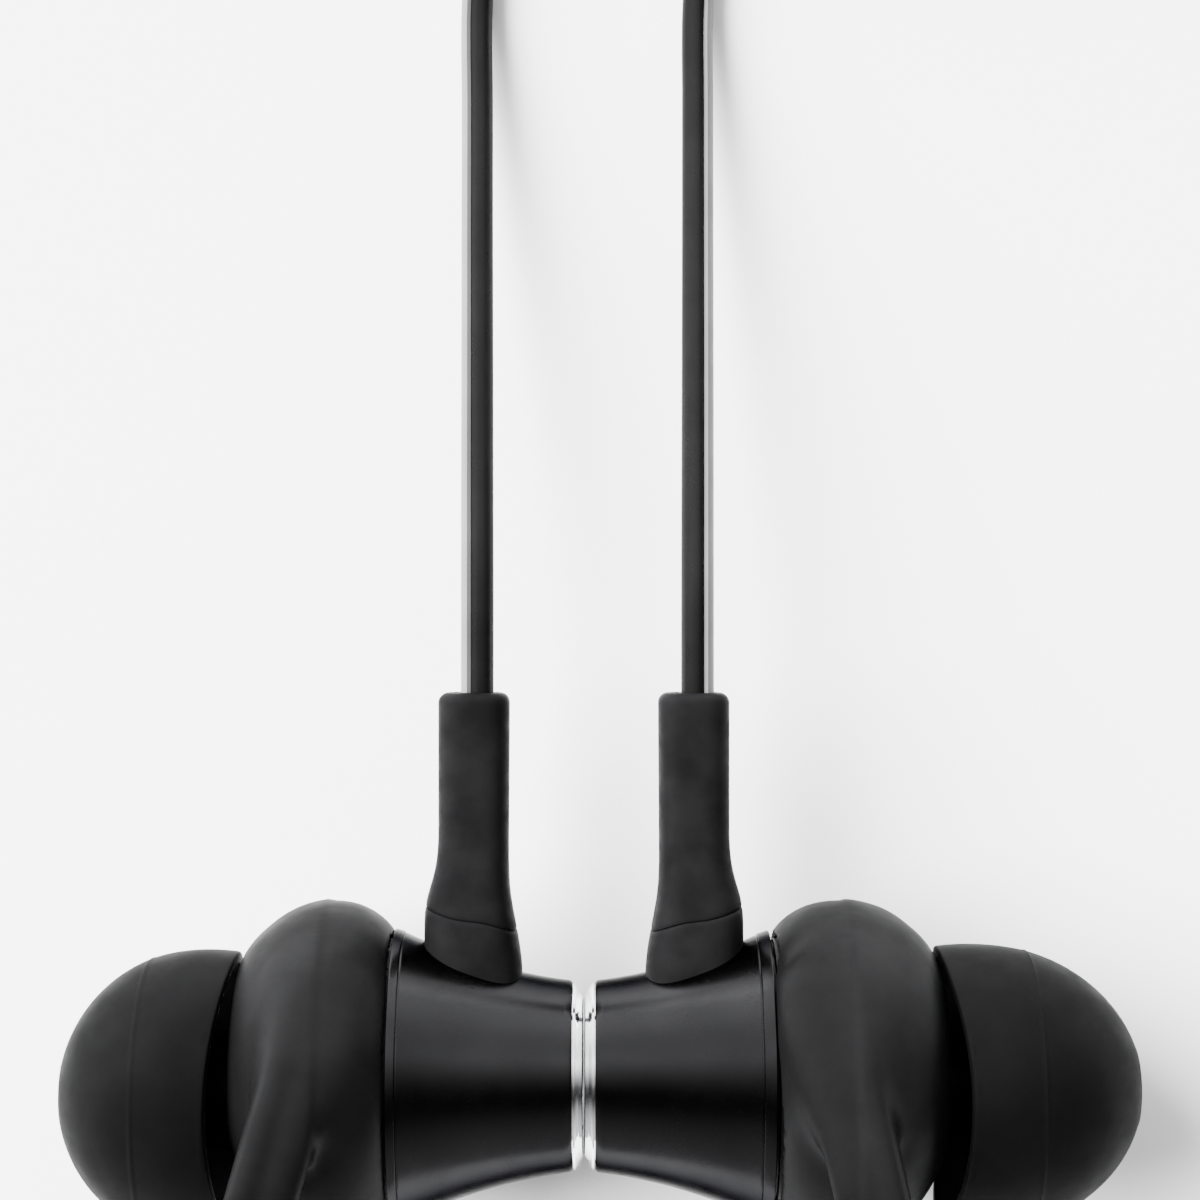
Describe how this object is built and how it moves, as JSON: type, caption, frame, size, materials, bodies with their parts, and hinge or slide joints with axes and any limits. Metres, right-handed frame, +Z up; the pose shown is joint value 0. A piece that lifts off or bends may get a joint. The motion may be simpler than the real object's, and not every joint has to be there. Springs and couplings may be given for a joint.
{
  "type": "wired earphones",
  "caption": "In-ear earphones docked back to back by magnets, with ear wings, ear tips, strain-relief boots, branch cords, splitter, coiled main cord and stereo plug.",
  "frame": {"origin": "on the surface that the set lies on, under the middle of the two docked buds with their boots and wings", "axes": "+X along the common axis of the two buds, from the left bud to the right; +Y the way the cords leave the buds; +Z up"},
  "size_m": [0.0498, 0.1303, 0.0182],
  "materials": {
    "black_metal": "black anodised, satin gloss",
    "chrome_trim": "bright polished",
    "wing_silicone": "soft matte silicone",
    "tip_silicone": "soft matte silicone",
    "boot_rubber": "matte moulded rubber",
    "cord_rubber": "satin, with a light strip along the outer edge",
    "black_plastic": "fine satin",
    "steel": "plain",
    "nickel": "nickel plated magnet",
    "copper": "enamelled copper winding",
    "film": "thin clear amber film",
    "circuit_board": "solder mask",
    "gold_contact": "gold plated, polished"
  },
  "bodies": {
    "left_bud": {"left_back_ring": "chrome_trim", "left_back_cap": "black_plastic", "left_dock_magnet": "nickel", "left_body_shell": "black_metal", "left_terminal_board": "circuit_board", "left_driver_yoke": "steel", "left_driver_magnet": "nickel", "left_driver_pole": "steel", "left_driver_frame": "steel", "left_voice_coil": "copper", "left_diaphragm": "film", "left_nose_cone": "black_plastic", "left_nozzle": "black_metal", "left_nozzle_mesh": "steel", "left_cord_collar": "black_plastic", "left_cord_boot": "boot_rubber", "left_cord_inner": "cord_rubber", "left_cord_lead": "cord_rubber", "right_cord_lead": "cord_rubber", "left_cord_exit": "cord_rubber", "right_cord_exit": "cord_rubber", "main_cord_lead": "cord_rubber", "main_cord_exit": "cord_rubber", "main_coil": "cord_rubber", "left_coil": "cord_rubber", "right_coil": "cord_rubber", "cord_tie": "boot_rubber", "splitter_base": "black_plastic", "splitter_cover": "black_plastic", "splitter_board": "circuit_board", "splitter_relief": "boot_rubber", "plug_relief": "boot_rubber", "plug_body": "black_plastic", "jack_sleeve": "gold_contact", "jack_insulator_1": "black_plastic", "jack_ring": "gold_contact", "jack_insulator_2": "black_plastic", "jack_tip": "gold_contact"},
    "right_bud": {"right_back_ring": "chrome_trim", "right_back_cap": "black_plastic", "right_dock_magnet": "nickel", "right_body_shell": "black_metal", "right_terminal_board": "circuit_board", "right_driver_yoke": "steel", "right_driver_magnet": "nickel", "right_driver_pole": "steel", "right_driver_frame": "steel", "right_voice_coil": "copper", "right_diaphragm": "film", "right_nose_cone": "black_plastic", "right_nozzle": "black_metal", "right_nozzle_mesh": "steel", "right_cord_collar": "black_plastic", "right_cord_boot": "boot_rubber", "right_cord_inner": "cord_rubber"},
    "left_tip": {"left_ear_tip": "tip_silicone"},
    "left_wing": {"left_ear_wing": "wing_silicone"},
    "right_tip": {"right_ear_tip": "tip_silicone"},
    "right_wing": {"right_ear_wing": "wing_silicone"}
  },
  "joints": [
    {"name": "buds_part", "type": "slide", "parent": "left_bud", "child": "right_bud", "axis": [1, 0, 0], "range_m": [0, 0.015]},
    {"name": "left_tip_pull", "type": "slide", "parent": "left_bud", "child": "left_tip", "axis": [-1, 0, 0], "range_m": [0, 0.008]},
    {"name": "left_wing_turn", "type": "hinge", "parent": "left_bud", "child": "left_wing", "pos_m": [-0.01273, -0.00105, 0.008], "axis": [1, 0, 0], "range_deg": [-25, 25]},
    {"name": "right_tip_pull", "type": "slide", "parent": "right_bud", "child": "right_tip", "axis": [1, 0, 0], "range_m": [0, 0.008]},
    {"name": "right_wing_turn", "type": "hinge", "parent": "right_bud", "child": "right_wing", "pos_m": [0.01127, -0.00105, 0.008], "axis": [1, 0, 0], "range_deg": [-25, 25]}
  ]
}
